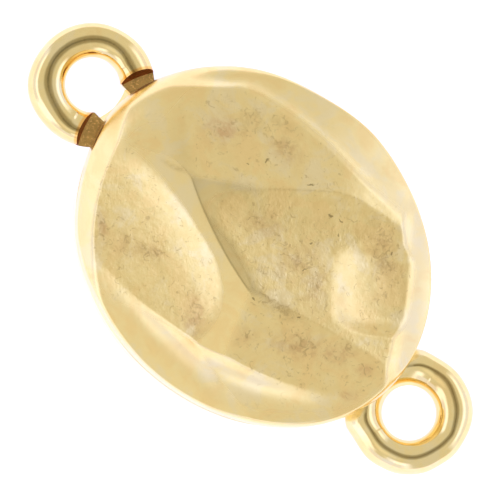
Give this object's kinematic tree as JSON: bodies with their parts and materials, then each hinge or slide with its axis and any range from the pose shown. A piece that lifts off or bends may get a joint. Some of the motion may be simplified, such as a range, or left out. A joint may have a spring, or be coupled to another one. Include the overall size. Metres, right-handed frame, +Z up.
{
  "type": "magnetic clasp",
  "caption": "Nugget shaped magnetic clasp for a necklace or bracelet, hammered gold plate, parting at the seam round its middle, with a closed loop cast on at either end.",
  "frame": {"origin": "middle of the flat foot on the back of the lower half", "axes": "+X from the lower half's loop to the upper half's loop, +Y across the body, +Z up out of the hammered face"},
  "size_m": [0.0232, 0.013, 0.0064],
  "materials": {
    "gold_plate": "cast and hammered, gold plated, polished on its high faces and mottled in its hollows",
    "nickel_plate": "nickel plated, lightly ground"
  },
  "bodies": {
    "lower": {"lower_half": "gold_plate", "lower_magnet": "nickel_plate"},
    "upper": {"upper_half": "gold_plate", "upper_magnet": "nickel_plate"}
  },
  "joints": [
    {"name": "clasp_open", "type": "slide", "parent": "lower", "child": "upper", "axis": [0, 0, 1], "range_m": [0, 0.01]}
  ]
}
